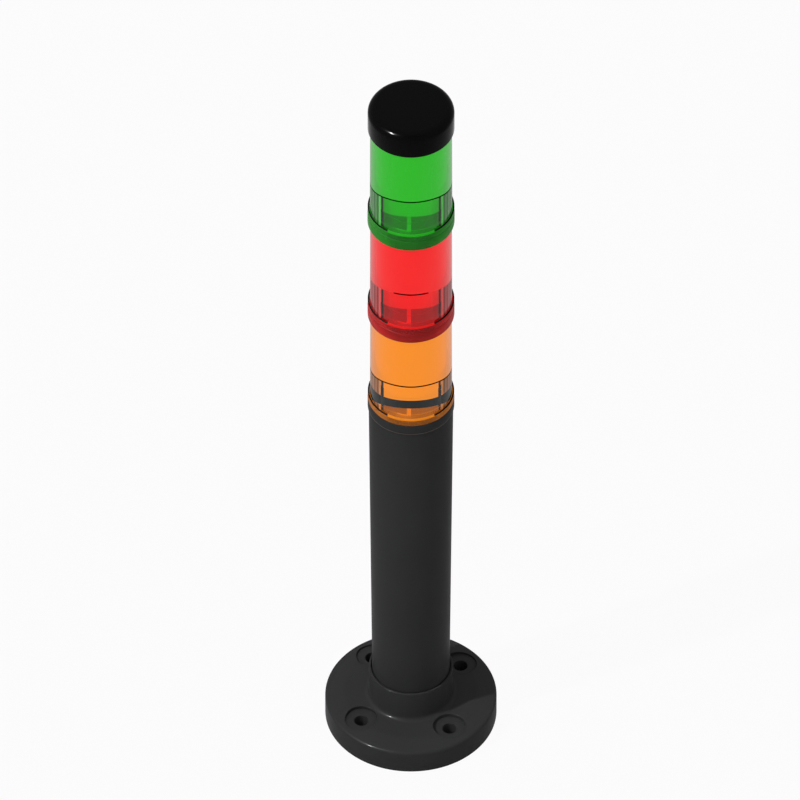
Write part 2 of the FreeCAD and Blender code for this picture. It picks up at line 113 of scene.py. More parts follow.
STRIP = {"Height": 0.66 * MM, "Width": 0.72 * MM}
STRIP_LIFT = 0.02 * MM
RIB = {"Count": 25, "Spread": math.radians(64.0), "Height": 3.0 * MM, "Width": 0.45 * MM}
RIB_DEPTH = 0.1 * MM
RIB_LIFT = 0.2 * MM
SHADE_BAR = {"Count": 2, "Spread": math.radians(117.0), "Width": 0.9 * MM}
SHADE_BAR_PROUD = 0.15 * MM
SHADE_BAR_SECTIONS = {
    "amber": ((5.0, 10.0), (19.8, 3.4)),
    "red": ((5.0, 9.0), (14.6, 8.7)),
    "green": ((5.0, 9.0), (14.6, 8.7)),
}

# Painted light and shade that the lens materials carry, glow, stripes, dark lines and
# refracted images, as heights over a tier's foot and as distances to the side.
# They are fitted to the view from the front and look wrong from the side.

WALL_MIDDLE = 17.3 * MM
WALL_MARGIN = 0.03 * MM
MARGIN = 0.1 * MM
LEDGE_RISE = 1.25 * MM
SHOULDER_GLOW = (11.85 * MM, 12.2 * MM)
LINE_HEIGHT = 30.1 * MM
LINE_DIP = 4.5 * MM
LINE_HALF = 0.4 * MM
LINE_REACH = {"amber": 30.0 * MM, "red": 8.0 * MM, "green": 30.0 * MM}
FLANK = 14.0 * MM
STREAK_PITCH = 1.3 * MM
STREAK_START = 1.45 * MM
STREAK_EDGE = 0.7 * MM
STREAK_LEVEL = 0.35
FROSTED_GLOW_FOOT = 17.4 * MM
FROSTED_GLOW_DIP = 20
RIB_PITCH = 0.926 * MM
RIB_FADE = (7.5 * MM, 13.0 * MM)
BAND_UNIT = 10 * MM
BAND_TOP, BAND_TOP_DIP = 21.2, 1.28
BAND_FOOT, BAND_FOOT_DIP, BAND_FOOT_CURL = 16.2, 1.4, 0.07
BAND_COVER = 12.6 * MM


# Mesh helpers

def eased(corners, steps=4):
    """Round the corners of a closed outline of (x, y, radius) corners."""
    points = []
    count = len(corners)
    for index, (x, y, radius) in enumerate(corners):
        here = Vector((x, y))
        if not radius:
            points.append((x, y))
            continue
        before = Vector(corners[index - 1][:2]) - here
        after = Vector(corners[(index + 1) % count][:2]) - here
        half = before.angle(after) / 2
        reach = min(radius / math.tan(half), 0.49 * before.length, 0.49 * after.length)
        start = before.normalized() * reach
        end = after.normalized() * reach
        middle = (start + end).normalized() * reach / math.cos(half)
        first = math.atan2(*(start - middle).yx)
        sweep = math.atan2(*(end - middle).yx) - first
        sweep = (sweep + math.pi) % math.tau - math.pi
        size = (start - middle).length
        for step in range(steps + 1):
            angle = first + sweep * step / steps
            spot = here + middle + size * Vector((math.cos(angle), math.sin(angle)))
            points.append((spot.x, spot.y))
    return points


def new_piece(name, mesh):
    """Link a mesh as an object at the origin."""
    piece = bpy.data.objects.new(name, mesh)
    scene.collection.objects.link(piece)
    return piece


def smooth(mesh, angle=35.0):
    """Shade a mesh smooth, with an edge kept sharp where it turns further."""
    mesh.polygons.foreach_set("use_smooth", [True] * len(mesh.polygons))
    mesh.set_sharp_from_angle(angle=math.radians(angle))
    mesh.update()


def lathe(name, profile, steps=STEPS, foot=0.0, angles=None):
    """Turn a closed outline round Z. profile is a list of (radius, height) pairs,
    or a function of the angle that gives one."""
    form = bmesh.new()
    angles = angles or [math.tau * step / steps for step in range(steps)]
    rings = []
    axis = {}
    for angle in angles:
        pairs = profile(angle) if callable(profile) else profile
        ring = []
        for index, (radius, height) in enumerate(pairs):
            if radius < 1e-7:
                if index not in axis:
                    axis[index] = form.verts.new((0, 0, height + foot))
                ring.append(axis[index])
            else:
                ring.append(form.verts.new((radius * math.cos(angle),
                                            radius * math.sin(angle), height + foot)))
        rings.append(ring)
    for index, ring in enumerate(rings):
        following = rings[(index + 1) % len(rings)]
        for point in range(len(ring)):
            after = (point + 1) % len(ring)
            loop = [ring[point], following[point], following[after], ring[after]]
            face = list(dict.fromkeys(loop))
            if len(face) > 2:
                form.faces.new(face)
    bmesh.ops.recalc_face_normals(form, faces=form.faces)
    mesh = bpy.data.meshes.new(name)
    form.to_mesh(mesh)
    form.free()
    smooth(mesh)
    return new_piece(name, mesh)


def cut(piece, cutters):
    """Take cutters out of a piece and leave a plain mesh."""
    for cutter in cutters:
        modifier = piece.modifiers.new("cut", "BOOLEAN")
        modifier.operation = "DIFFERENCE"
        modifier.solver = "EXACT"
        modifier.object = cutter
    graph = bpy.context.evaluated_depsgraph_get()
    mesh = bpy.data.meshes.new_from_object(piece.evaluated_get(graph))
    piece.modifiers.clear()
    piece.data = mesh
    smooth(mesh)
    for cutter in cutters:
        bpy.data.objects.remove(cutter)


def dress(piece, body, material, slot, *replaced):
    """Give a piece its material and body, and hide what it replaces. The slot argument is not
    used.
    """
    piece.data.materials.clear()
    piece.data.materials.append(material)
    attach(piece, body)
    if replaced:
        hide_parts(*replaced)


# Shader helpers

class Value:
    """A socket that adds Math nodes when it stands in an expression."""

    def __init__(self, finish, socket):
        self.finish = finish
        self.socket = socket

    def math(self, operation, *others):
        return self.finish.math(operation, self, *others)

    def __add__(self, other):
        return self.math("ADD", other)

    __radd__ = __add__

    def __sub__(self, other):
        return self.math("SUBTRACT", other)

    def __rsub__(self, other):
        return self.finish.math("SUBTRACT", other, self)

    def __mul__(self, other):
        return self.math("MULTIPLY", other)

    __rmul__ = __mul__

    def __truediv__(self, other):
        return self.math("DIVIDE", other)

    def __pow__(self, other):
        return self.math("POWER", other)


class Tree:
    """A node tree under construction, of a material or of a shape."""

    def __init__(self, tree):
        self.tree = tree
        self.tree.nodes.clear()

    def node(self, kind, settings=None, inputs=None, output=0):
        """Add a node, first its settings, then its sockets, and wrap one output."""
        made = self.tree.nodes.new(kind)
        for key, setting in (settings or {}).items():
            setattr(made, key, setting)
        for key, given in (inputs or {}).items():
            self.feed(made.inputs[key], given)
        return Value(self, made.outputs[output]) if made.outputs else made

    def feed(self, socket, given):
        if isinstance(given, Value):
            self.tree.links.new(given.socket, socket)
        else:
            socket.default_value = given

    def math(self, operation, *terms):
        return self.node("ShaderNodeMath", {"operation": operation},
                         dict(enumerate(terms)))

    def between(self, value, low, high):
        """One where a value lies between two limits, else nothing."""
        return self.math("GREATER_THAN", value, low) * self.math("LESS_THAN", value, high)


class Finish(Tree):
    """The tree of one material."""

    def __init__(self, name):
        self.material = bpy.data.materials.new(name)
        self.material.use_nodes = True
        super().__init__(self.material.node_tree)

    def mix(self, factor, first, second):
        """Blend two colours."""
        return self.node("ShaderNodeMix", {"data_type": "RGBA"},
                         {0: factor, 6: first, 7: second}, output=2)

    def place(self):
        """Object coordinates."""
        return self.node("ShaderNodeTexCoord", output=3)

    def noise(self, scale, detail=2.0, roughness=0.5):
        return self.node("ShaderNodeTexNoise", {"noise_dimensions": "3D"}, {
            "Vector": self.place(), "Scale": scale, "Detail": detail,
            "Roughness": roughness})

    def remap(self, value, low, high, to_low, to_high):
        return self.node("ShaderNodeMapRange", {}, {
            0: value, 1: low, 2: high, 3: to_low, 4: to_high})

    def bump(self, height, strength, distance):
        return self.node("ShaderNodeBump", {}, {
            "Height": height, "Strength": strength, "Distance": distance})

    def surface(self, shader):
        output = self.tree.nodes.new("ShaderNodeOutputMaterial")
        self.tree.links.new(shader.socket, output.inputs["Surface"])
        return self.material

    def parts(self, vector):
        """The three numbers of a vector."""
        split = self.node("ShaderNodeSeparateXYZ", {}, {"Vector": vector})
        return [Value(self, split.socket.node.outputs[axis]) for axis in "XYZ"]

    def around(self):
        """Distance to the side, distance from the object's axis, and height."""
        x, y, z = self.parts(self.place())
        return x, (x * x + y * y) ** 0.5, z

    def blend(self, factor, first, second):
        """Blend two shaders."""
        return self.node("ShaderNodeMixShader", {}, {0: factor, 1: first, 2: second})

    def principled(self, **inputs):
        named = {key.replace("_", " "): given for key, given in inputs.items()}
        return self.node("ShaderNodeBsdfPrincipled", {}, named)


def grey(level):
    return (level, level, level, 1)


GLEAM_SHARE = 0.0007


def satin_black(name="satin_black_moulding", highlight_below=None):
    """Moulded plastic with a fine spark-eroded grain and, where asked, a painted highlight
    that makes it a little paler along its lower edge."""
    finish = Finish(name)
    cloud = finish.noise(35.0, 3.0)
    grain = finish.noise(2600.0, 2.0, 0.6)
    colour = finish.mix(cloud, (0.0262, 0.0262, 0.0266, 1), (0.0316, 0.0316, 0.0320, 1))
    # Painted highlight: paler colour below the given height along the lower edge.
    if highlight_below:
        _, _, z = finish.around()
        colour = finish.mix(finish.math("LESS_THAN", z, highlight_below), colour,
                            (0.12, 0.098, 0.085, 1))
    bump = finish.bump(grain, 0.25, 0.02 * MM)
    body = finish.principled(Base_Color=colour, Normal=bump, Specular_IOR_Level=0.009,
                             Roughness=finish.remap(cloud, 0.3, 0.7, 0.40, 0.46))
    gleam = finish.node("ShaderNodeBsdfAnisotropic", {}, {
        "Color": grey(1.0), "Roughness": 0.15, "Normal": bump})
    return finish.surface(finish.blend(GLEAM_SHARE, body, gleam))


def gloss_black():
    """The cap's polished moulding."""
    finish = Finish("gloss_black_moulding")
    cloud = finish.noise(40.0, 2.0)
    colour = finish.mix(cloud, (0.0022, 0.0022, 0.0022, 1), (0.0026, 0.0026, 0.0026, 1))
    return finish.surface(finish.principled(
        Base_Color=colour,
        Roughness=finish.remap(cloud, 0.3, 0.7, 0.12, 0.16),
        Specular_IOR_Level=0.02,
        Normal=finish.bump(cloud, 0.05, 0.05 * MM)))


def black_rubber():
    """Matt black rubber."""
    finish = Finish("black_rubber")
    grain = finish.noise(3000.0, 2.0)
    colour = finish.mix(grain, (0.003, 0.003, 0.003, 1), (0.006, 0.006, 0.006, 1))
    return finish.surface(finish.principled(
        Base_Color=colour, Roughness=finish.remap(grain, 0.3, 0.7, 0.6, 0.8),
        Specular_IOR_Level=0.03, Normal=finish.bump(grain, 0.3, 0.02 * MM)))


def moulded(name, dark, light, roughness):
    """Plain moulded plastic in two close shades."""
    finish = Finish(name)
    cloud = finish.noise(120.0, 3.0)
    grain = finish.noise(2500.0, 2.0)
    return finish.surface(finish.principled(
        Base_Color=finish.mix(cloud, (*dark, 1), (*light, 1)),
        Roughness=finish.remap(cloud, 0.3, 0.7, roughness - 0.05, roughness + 0.05),
        Normal=finish.bump(grain, 0.15, 0.02 * MM)))


def metal(name, dark, light, roughness):
    """Bright metal with fine drawn marks."""
    finish = Finish(name)
    marks = finish.noise(900.0, 4.0, 0.7)
    return finish.surface(finish.principled(
        Base_Color=finish.mix(marks, (*dark, 1), (*light, 1)), Metallic=1.0,
        Roughness=finish.remap(marks, 0.3, 0.7, roughness, roughness + 0.15)))


def circuit():
    """White solder mask with fine tracks."""
    finish = Finish("board_mask")
    tracks = finish.node("ShaderNodeTexBrick", {"offset": 0.5}, {
        "Vector": finish.place(), "Scale": 260.0, "Mortar Size": 0.03,
        "Color1": grey(0.78), "Color2": grey(0.72), "Mortar": grey(0.60)})
    fleck = finish.noise(1500.0, 2.0)
    return finish.surface(finish.principled(
        Base_Color=tracks, Roughness=finish.remap(fleck, 0.3, 0.7, 0.35, 0.5)))


def clear(colour, foot, tint, reach, banded, streak_shares):
    """Clear coloured moulding. The outer wall is deep and carries the painted glow of the
    lamps behind it down to a dark line of painted shade, with painted stripes of light and
    shade at the sides under it, and the thick collar is nearly solid, with painted glow on
    its ledge and painted shade on its grips. The web and the skirt are pale, and the skirt
    has a frost and painted lamp glow in its upper half. Where banded, the dark band round the
    skirt is painted on the wall in front of it as its refracted image."""
    finish = Finish("clear_" + colour)
    flow = finish.noise(60.0, 2.0)
    x, radius, z = finish.around()
    aside = finish.math("ABSOLUTE", x)
    height = z - foot
    outside = finish.math("GREATER_THAN", radius, WALL_MIDDLE)
    thick = finish.math("GREATER_THAN", radius, LENS_RADIUS + WALL_MARGIN)
    wall = outside * (1 - thick)
    ramp = finish.math("GREATER_THAN", height, COLLAR_HEIGHT - MARGIN) * thick
    ledge = ramp * finish.math("LESS_THAN", height, COLLAR_HEIGHT + LEDGE_RISE)
    # A thin band of painted light round the outer wall at a fixed height.
    shoulder = finish.between(height, *SHOULDER_GLOW) * outside
    # The dark line is painted shade, a refracted image of dark parts behind the wall, lower
    # toward the sides.
    middle = LINE_HEIGHT - LINE_DIP * (aside / LENS_RADIUS) ** 3
    line = finish.between(height, middle - LINE_HALF, middle + LINE_HALF) * wall
    line = line * finish.math("LESS_THAN", aside, reach)
    upper = finish.math("GREATER_THAN", height, middle) * wall
    # Under the line, the sides get painted stripes of light and shade: a bright stripe at the
    # flank's edge, then fine dark and pale stripes.
    flank = finish.math("GREATER_THAN", aside, FLANK) * wall * (1 - upper)
    bright = finish.between(aside, FLANK, FLANK + STREAK_EDGE)
    fine = finish.math("GREATER_THAN", finish.math(
        "COSINE", (aside - FLANK - STREAK_START) * (math.tau / STREAK_PITCH)), STREAK_LEVEL)
    # The skirt's upper part, lower toward the sides, gets painted lamp glow.
    frosted_glow = finish.between(radius, SKIRT_RADIUS - MARGIN, SKIRT_RADIUS + MARGIN)
    frosted_glow = frosted_glow * finish.math(
        "GREATER_THAN", height, FROSTED_GLOW_FOOT - FROSTED_GLOW_DIP * aside ** 2)
    # Painted shade on the grips: darker toward the middle of the front and back, in stripes
    # that stand in for the shade between the ribs.
    grip = finish.remap(aside, *RIB_FADE, 1.0, 0.0) * (1 - ramp)
    groove = finish.math(
        "GREATER_THAN", finish.math("COSINE", x * (math.tau / RIB_PITCH)), 0.0)

    def mixed(share, white=0.0):
        return (*[white + share * part for part in tint], 1)

    # Painted lamp glow: emission in the tint stands in for the light of the lamps inside.
    def lit(depth, strength):
        glow = (*[part ** depth for part in tint], 1)
        return finish.principled(
            Base_Color=finish.mix(flow, mixed(0.14), mixed(0.16)), Roughness=0.4,
            Specular_IOR_Level=0.03, Emission_Color=glow, Emission_Strength=strength)

    def see_through(share):
        return finish.node("ShaderNodeBsdfTransparent", {}, {
            "Color": (*[part ** share for part in tint], 1)})

    dense = finish.mix(flow, mixed(0.44, 0.004), mixed(0.50, 0.004))
    dense = finish.mix(grip * (1 - 0.6 * groove), dense, mixed(0.27, 0.008))
    # Painted glow on the collar's ledge, and fainter on the grip ramps, standing in for light
    # falling on them.
    backlight = finish.mix(ledge, finish.mix(ramp, grey(0), mixed(0.2, 0.12)), mixed(1.0))
    solid = finish.principled(Base_Color=dense, Roughness=0.5, Specular_IOR_Level=0.05,
                              Emission_Color=backlight, Emission_Strength=0.4)
    # The painted stripes glow a little as well.
    streak_colour = finish.mix(fine, mixed(streak_shares[0], 0.032), mixed(0.55 * streak_shares[0], 0.006))
    streak_colour = finish.mix(bright, streak_colour, mixed(streak_shares[1], 0.05))
    streak_shader = finish.principled(Base_Color=streak_colour, Roughness=0.5, Specular_IOR_Level=0.05,
                               Emission_Color=streak_colour, Emission_Strength=0.4)
    line_shade = finish.node("ShaderNodeBsdfDiffuse", {}, {"Color": mixed(0.02)})
    body = finish.blend(outside, see_through(WEB_SHARE), see_through(WALL_SHARE))
    body = finish.blend(frosted_glow * 0.9, body, lit(1 - WALL_SHARE, 0.98))
    body = finish.blend(thick * (0.9 - 0.6 * (ramp - ledge)), body, solid)
    body = finish.blend(upper * 0.85 + shoulder * 0.3, body, lit(1.0, 0.92))
    body = finish.blend(flank * 0.88, body, streak_shader)
    if banded:
        # The band is painted on the wall as the refracted image of the real band behind it.
        spread = (aside / BAND_UNIT) ** 2
        band_top = (BAND_TOP - BAND_TOP_DIP * spread) * MM
        band_foot = (BAND_FOOT - BAND_FOOT_DIP * spread
                     - BAND_FOOT_CURL * spread ** 3) * MM
        # Painted glow above the painted band hides the real band behind the wall.
        cover = finish.between(height, band_top, middle) * wall
        cover = cover * finish.math("LESS_THAN", aside, BAND_COVER)
        body = finish.blend(cover * 0.93, body, lit(1.0, 0.92))
        band = finish.node("ShaderNodeBsdfDiffuse", {}, {
            "Color": finish.mix(flow, (0.011, 0.014, 0.014, 1), (0.014, 0.016, 0.016, 1))})
        body = finish.blend(finish.between(height, band_foot, band_top) * wall, body, band)
    body = finish.blend(line, body, line_shade)
    shine = finish.node("ShaderNodeBsdfAnisotropic", {}, {
        "Color": grey(0.43), "Roughness": finish.remap(flow, 0.3, 0.7, 0.02, 0.05)})
    facing = finish.node("ShaderNodeLayerWeight", {}, {"Blend": 0.5}, output=1)
    edge = (0.04 + 1.15 * facing ** 3.4) * (1 - 0.35 * flank)
    hidden = finish.node("ShaderNodeNewGeometry", output=6)
    return finish.surface(finish.blend(
        edge * (1 - hidden) * (1 - 0.9 * thick) * (1 - line), body, shine))


def lit_opal(name, glow, dim=1.0, stray=0.0):
    """Opal plastic with the glow of the tier's own lamps behind it painted in as emission,
    painted dimmer outside its bore, where some painted white light strays in."""
    finish = Finish(name)
    cloud = finish.noise(90.0, 3.0)
    grain = finish.noise(2500.0, 2.0)
    _, radius, _ = finish.around()
    inside = finish.math("LESS_THAN", radius, SLEEVE_BORE + MARGIN / 2)
    # Painted lamp glow, painted dimmer outside the bore, with painted white light added
    # there.
    lit = finish.mix(cloud, (*[0.97 * part for part in glow], 1), (*glow, 1))
    if dim < 1:
        lit = finish.mix(inside, (*[dim * part + stray for part in glow], 1), lit)
    return finish.surface(finish.principled(
        Base_Color=finish.mix(cloud, grey(0.15), grey(0.17)),
        Roughness=finish.remap(cloud, 0.3, 0.7, 0.5, 0.6),
        Emission_Color=lit, Emission_Strength=LAMP_GLOW,
        Normal=finish.bump(grain, 0.1, 0.02 * MM)))


LAMP_GLOW = 0.86
GREY_DIM = 0.42
GREY_STRAY = {"amber": 0.05, "red": 0.0, "green": 0.0}
EDGE_HIGHLIGHT_HEIGHT = 0.4 * MM
WALL_SHARE = 0.5
WEB_SHARE = 0.06
STREAK_SHARES = {"amber": (0.23, 0.55), "red": (0.30, 0.62), "green": (0.30, 0.85)}

SATIN = satin_black()
RING_BLACK = satin_black("base_ring_black", ring_low.z + EDGE_HIGHLIGHT_HEIGHT)
GLOSS = gloss_black()
RUBBER = black_rubber()
GREY = moulded("grey_moulding", (0.20, 0.20, 0.20), (0.24, 0.24, 0.24), 0.45)
WHITE = moulded("white_moulding", (0.84, 0.84, 0.84), (0.88, 0.88, 0.88), 0.5)
LAMP = moulded("lamp_resin", (0.80, 0.74, 0.45), (0.88, 0.82, 0.55), 0.3)
CONTACT = metal("contact_brass", (0.62, 0.44, 0.18), (0.78, 0.58, 0.28), 0.25)
STEEL = metal("plated_steel", (0.45, 0.45, 0.46), (0.62, 0.62, 0.62), 0.3)
BOARD = circuit()
TINTS = {
    "amber": (0.93, 0.268, 0.008),
    "red": (0.915, 0.007, 0.007),
    "green": (0.014, 0.465, 0.008),
}
CLEAR = {}
OPAL = {}
LIT_GREY = {}
for number, (colour, tint) in enumerate(TINTS.items()):
    glow = tuple(part ** WALL_SHARE for part in tint)
    CLEAR[colour] = clear(colour, TIER_FOOT + number * TIER_PITCH, tint,
                          LINE_REACH[colour], colour == "amber", STREAK_SHARES[colour])
    OPAL[colour] = lit_opal("opal_" + colour, glow)
    LIT_GREY[colour] = lit_opal(
        "natural_grey_in_" + colour, glow, GREY_DIM, GREY_STRAY[colour])


# Shapes that repeat

def shape_tree(name, **inputs):
    """A new shape tree, and each of its inputs as a value."""
    tree = bpy.data.node_groups.new(name, "GeometryNodeTree")
    shape = Tree(tree)
    for title, kind in inputs.items():
        tree.interface.new_socket(title, in_out="INPUT", socket_type="NodeSocket" + kind)
    tree.interface.new_socket("Geometry", in_out="OUTPUT", socket_type="NodeSocketGeometry")
    given = tree.nodes.new("NodeGroupInput")
    return shape, [Value(shape, given.outputs[title]) for title in inputs]


def delivered(shape, geometry, material):
    """The finished tree, which makes its instances real and paints them."""
    real = shape.node("GeometryNodeRealizeInstances", {}, {"Geometry": geometry})
    painted = shape.node("GeometryNodeSetMaterial", {}, {
        "Geometry": real, "Material": material})
    output = shape.tree.nodes.new("NodeGroupOutput")
    shape.tree.links.new(painted.socket, output.inputs[0])
    return shape.tree


def ribs_tree():
    """Half round ribs that stand side by side round the axis, in front and behind."""
    shape, (count, spread, radius, foot, height, width, material) = shape_tree(
        "ribs", Count="Int", Spread="Float", Radius="Float", Foot="Float",
        Height="Float", Width="Float", Material="Material")
    index = shape.node("GeometryNodeInputIndex")
    behind = shape.math("GREATER_THAN", index, count - 0.5)
    step = (index - behind * count) / (count - 1)
    angle = behind * math.pi + (step - 0.5) * spread + FRONT
    place = shape.node("ShaderNodeCombineXYZ", {}, {
        0: radius * shape.math("COSINE", angle), 1: radius * shape.math("SINE", angle),
        2: foot + height / 2})
    points = shape.node("GeometryNodePoints", {}, {"Count": count * 2, "Position": place})
    rib = shape.node("GeometryNodeMeshCylinder", {"fill_type": "NGON"}, {
        "Vertices": 10, "Radius": width / 2, "Depth": height})
    turn = shape.node("ShaderNodeCombineXYZ", {}, {2: angle})
    ribs = shape.node("GeometryNodeInstanceOnPoints", {}, {
        "Points": points, "Instance": rib, "Rotation": turn})
    return delivered(shape, ribs, material)


def strip_tree():
    """A flat strip with eased edges, bent round the axis on each side."""
    shape, (gap, radius, foot, height, width, material) = shape_tree(
        "strips", Gap="Float", Radius="Float", Foot="Float", Height="Float",
        Width="Float", Material="Material")
    sides = []
    for side in (0.0, math.pi):
        path = shape.node("GeometryNodeCurveArc", {"mode": "RADIUS"}, {
            "Resolution": 90, "Radius": radius - width / 2,
            "Start Angle": side + FRONT + gap / 2, "Sweep Angle": math.pi - gap})
        outline = shape.node("GeometryNodeCurvePrimitiveQuadrilateral", {}, {
            "Width": width, "Height": height})
        eased_outline = shape.node("GeometryNodeFilletCurve", {"mode": "POLY"}, {
            "Curve": outline, "Count": 3, "Radius": height * 0.25})
        sides.append(shape.node("GeometryNodeCurveToMesh", {}, {
            "Curve": path, "Profile Curve": eased_outline, "Fill Caps": True}))
    joined = shape.tree.nodes.new("GeometryNodeJoinGeometry")
    for side in sides:
        shape.tree.links.new(side.socket, joined.inputs[0])
    lift = shape.node("ShaderNodeCombineXYZ", {}, {2: foot + height / 2})
    raised = shape.node("GeometryNodeTransform", {}, {
        "Geometry": Value(shape, joined.outputs[0]), "Translation": lift})
    return delivered(shape, raised, material)


def grown(name, tree, **sizes):
    """The plain mesh that a shape tree makes from its named sizes."""
    piece = new_piece(name, bpy.data.meshes.new(name))
    modifier = piece.modifiers.new("shape", "NODES")
    modifier.node_group = tree
    for item in tree.interface.items_tree:
        if item.in_out == "INPUT":
            modifier[item.identifier] = sizes[item.name]
    graph = bpy.context.evaluated_depsgraph_get()
    mesh = bpy.data.meshes.new_from_object(piece.evaluated_get(graph))
    piece.modifiers.clear()
    piece.data = mesh
    form = bmesh.new()
    form.from_mesh(mesh)
    bmesh.ops.recalc_face_normals(form, faces=form.faces)
    form.to_mesh(mesh)
    form.free()
    smooth(mesh)
    return piece


# Pieces

def flange():
    """Flange, hub and socket, with four counterbored holes. The socket's mouth is
    0.2 mm wider in radius than in the CAD, to show the dark gap round the pole."""
    radius = 40.0 * MM
    shoulder = 12.0 * MM
    slope_end = 31.0 * MM
    flat = 13.5 * MM
    hub = 19.6 * MM
    socket = 18.2 * MM
    mouth = 18.6 * MM
    mouth_foot = HUB_HEIGHT - 2.5 * MM
    seat = pole_low.z
    bore = 9.0 * MM
    groove_in, groove_out, groove = 34.3 * MM, 37.7 * MM, 1.5 * MM
    profile = eased([
        (bore, 0, 0.3 * MM),
        (groove_in, 0, 0), (groove_in, groove, 0),
        (groove_out, groove, 0), (groove_out, 0, 0),
        (radius, 0, 0.2 * MM),
        (radius, shoulder, 1.5 * MM),
        (slope_end, flat, 14.0 * MM),
        (hub, flat, 2.4 * MM),
        (hub, HUB_HEIGHT, 0.4 * MM),
        (mouth, HUB_HEIGHT, 0.1 * MM),
        (mouth, mouth_foot, 0),
        (socket, mouth_foot, 0),
        (socket, seat, 0),
        (bore, seat, 0.3 * MM),
    ], steps=6)
    piece = lathe("flange_body", profile)
    hole, counter, depth = 3.3 * MM, 7.65 * MM, 1.85 * MM
    chamfer, beyond = 0.12 * MM, 1 * MM
    cutters = []
    for number in range(HOLES):
        turn = math.radians(HOLE_TURN + 360 // HOLES * number)
        tool = lathe("hole_tool", eased([
            (0, -beyond, 0), (hole, -beyond, 0), (hole, flat - depth, 0.15 * MM),
            (counter, flat - depth, 0), (counter, flat - chamfer, 0),
            (counter + 1.1 * MM, flat + beyond, 0), (0, flat + beyond, 0)]), steps=96)
        spot = Vector((math.cos(turn), math.sin(turn), 0)) * HOLE_CIRCLE * MM
        tool.data.transform(Matrix.Translation(spot))
        cutters.append(tool)
    cut(piece, cutters)
    dress(piece, "base", SATIN, "black_body", "mounting_flange")


def pole():
    """The tapered tube."""
    top = pole_high.x
    rebate_foot = pole_high.z - POLE_REBATE_DEPTH
    profile = eased([
        (POLE_FOOT_RADIUS - POLE_WALL, pole_low.z, 0.2 * MM),
        (POLE_FOOT_RADIUS, pole_low.z, 0.2 * MM),
        (top, pole_high.z, 0.15 * MM),
        (POLE_REBATE_RADIUS, pole_high.z, 0),
        (POLE_REBATE_RADIUS, rebate_foot, 0),
        (top - POLE_WALL, rebate_foot, 0),
    ])
    piece = lathe("pole_tube", profile)
    dress(piece, "base", SATIN, "black_body", "pole")


def tier_ring(node, body, material, slot):
    """The plain ring under a tier's collar."""
    low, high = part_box(node)
    profile = eased([
        (RING_BORE, low.z, 0.1 * MM), (RING_RADIUS, low.z, 0.25 * MM),
        (RING_RADIUS, high.z, 0.15 * MM), (RING_BORE, high.z, 0.1 * MM)])
    piece = lathe(node + "_turned", profile)
    dress(piece, body, material, slot, node)


def lens(colour, foot):
    """Wall, lip, collar with two grips, web and skirt, in one clear piece, without the
    CAD's lugs."""
    def corners(grip):
        ledge = COLLAR_HEIGHT + (GRIP_LAND if grip else 0)
        inner = COLLAR_HEIGHT + (GRIP_RISE if grip else 0)
        wall = LENS_RADIUS if not grip else LENS_RADIUS - 0.01 * MM
        return eased([
            (LENS_BORE, LIP_FOOT, 0.1 * MM),
            (LIP_RADIUS, LIP_FOOT, 0.1 * MM),
            (LIP_RADIUS, RING_HEIGHT, 0.1 * MM),
            (COLLAR_RADIUS, RING_HEIGHT, 0.15 * MM),
            (COLLAR_RADIUS, ledge, 0.2 * MM),
            (wall, inner, 0.25 * MM),
            (LENS_TOP_RADIUS, TIER_PITCH, 0.15 * MM),
            (LENS_BORE, TIER_PITCH, 0.1 * MM),
            (LENS_BORE, WEB_TOP, 0.3 * MM),
            (SLEEVE_BORE, WEB_TOP, 0.1 * MM),
            (SLEEVE_BORE, WEB_FOOT, 0.1 * MM),
            (SKIRT_BORE, WEB_FOOT, 0.2 * MM),
            (SKIRT_BORE, SKIRT_FOOT, 0.15 * MM),
            (SKIRT_RADIUS, SKIRT_FOOT, 0.15 * MM),
            (SKIRT_RADIUS, WEB_FOOT, 0.2 * MM),
            (LENS_BORE, WEB_FOOT, 0.3 * MM),
        ])

    plain, grip = corners(False), corners(True)

    def profile(angle):
        offset = min(abs((angle - centre + math.pi) % math.tau - math.pi)
                     for centre in (FRONT, -FRONT))
        return grip if offset < GRIP_HALF_ANGLE else plain

    edge, clearance = 0.0005, 0.004
    angles = [math.tau * step / STEPS for step in range(STEPS)]
    for centre in (FRONT, -FRONT):
        for side in (-1, 1):
            limit = centre + side * GRIP_HALF_ANGLE
            angles = [
                angle for angle in angles
                if abs((angle - limit + math.pi) % math.tau - math.pi) > clearance]
            angles += [(limit - edge) % math.tau, (limit + edge) % math.tau]
    piece = lathe(colour + "_lens_moulding", profile, foot=foot, angles=sorted(angles))
    dress(piece, colour + "_tier", CLEAR[colour], colour + "_lens", colour + "_lens")


def cap():
    """The closed cap, without the CAD's lugs."""
    foot, top = cap_low.z, cap_high.z
    ceiling = top - CAP_ROOF
    profile = eased([
        (0, ceiling, 0), (SKIRT_BORE, ceiling, 0.2 * MM),
        (SKIRT_BORE, foot + SKIRT_FOOT, 0.15 * MM),
        (SKIRT_RADIUS, foot + SKIRT_FOOT, 0.15 * MM),
        (SKIRT_RADIUS, ceiling, 0.2 * MM), (RING_BORE, ceiling, 0.5 * MM),
        (RING_BORE, foot, 0.1 * MM), (COLLAR_RADIUS, foot, 0.3 * MM),
        (COLLAR_RADIUS, top, 3.9 * MM), (0, top, 0)], steps=10)
    piece = lathe("cap_moulding", profile)
    dress(piece, "cap", GLOSS, "cap_gloss", "cap")


def tube(node, body, material, slot, bore):
    """A plain tube in a node's place."""
    low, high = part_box(node)
    ease = 0.15 * MM
    profile = eased([(bore, low.z, ease), (high.x, low.z, ease),
                     (high.x, high.z, ease), (bore, high.z, ease)])
    dress(lathe(node + "_turned", profile), body, material, slot, node)


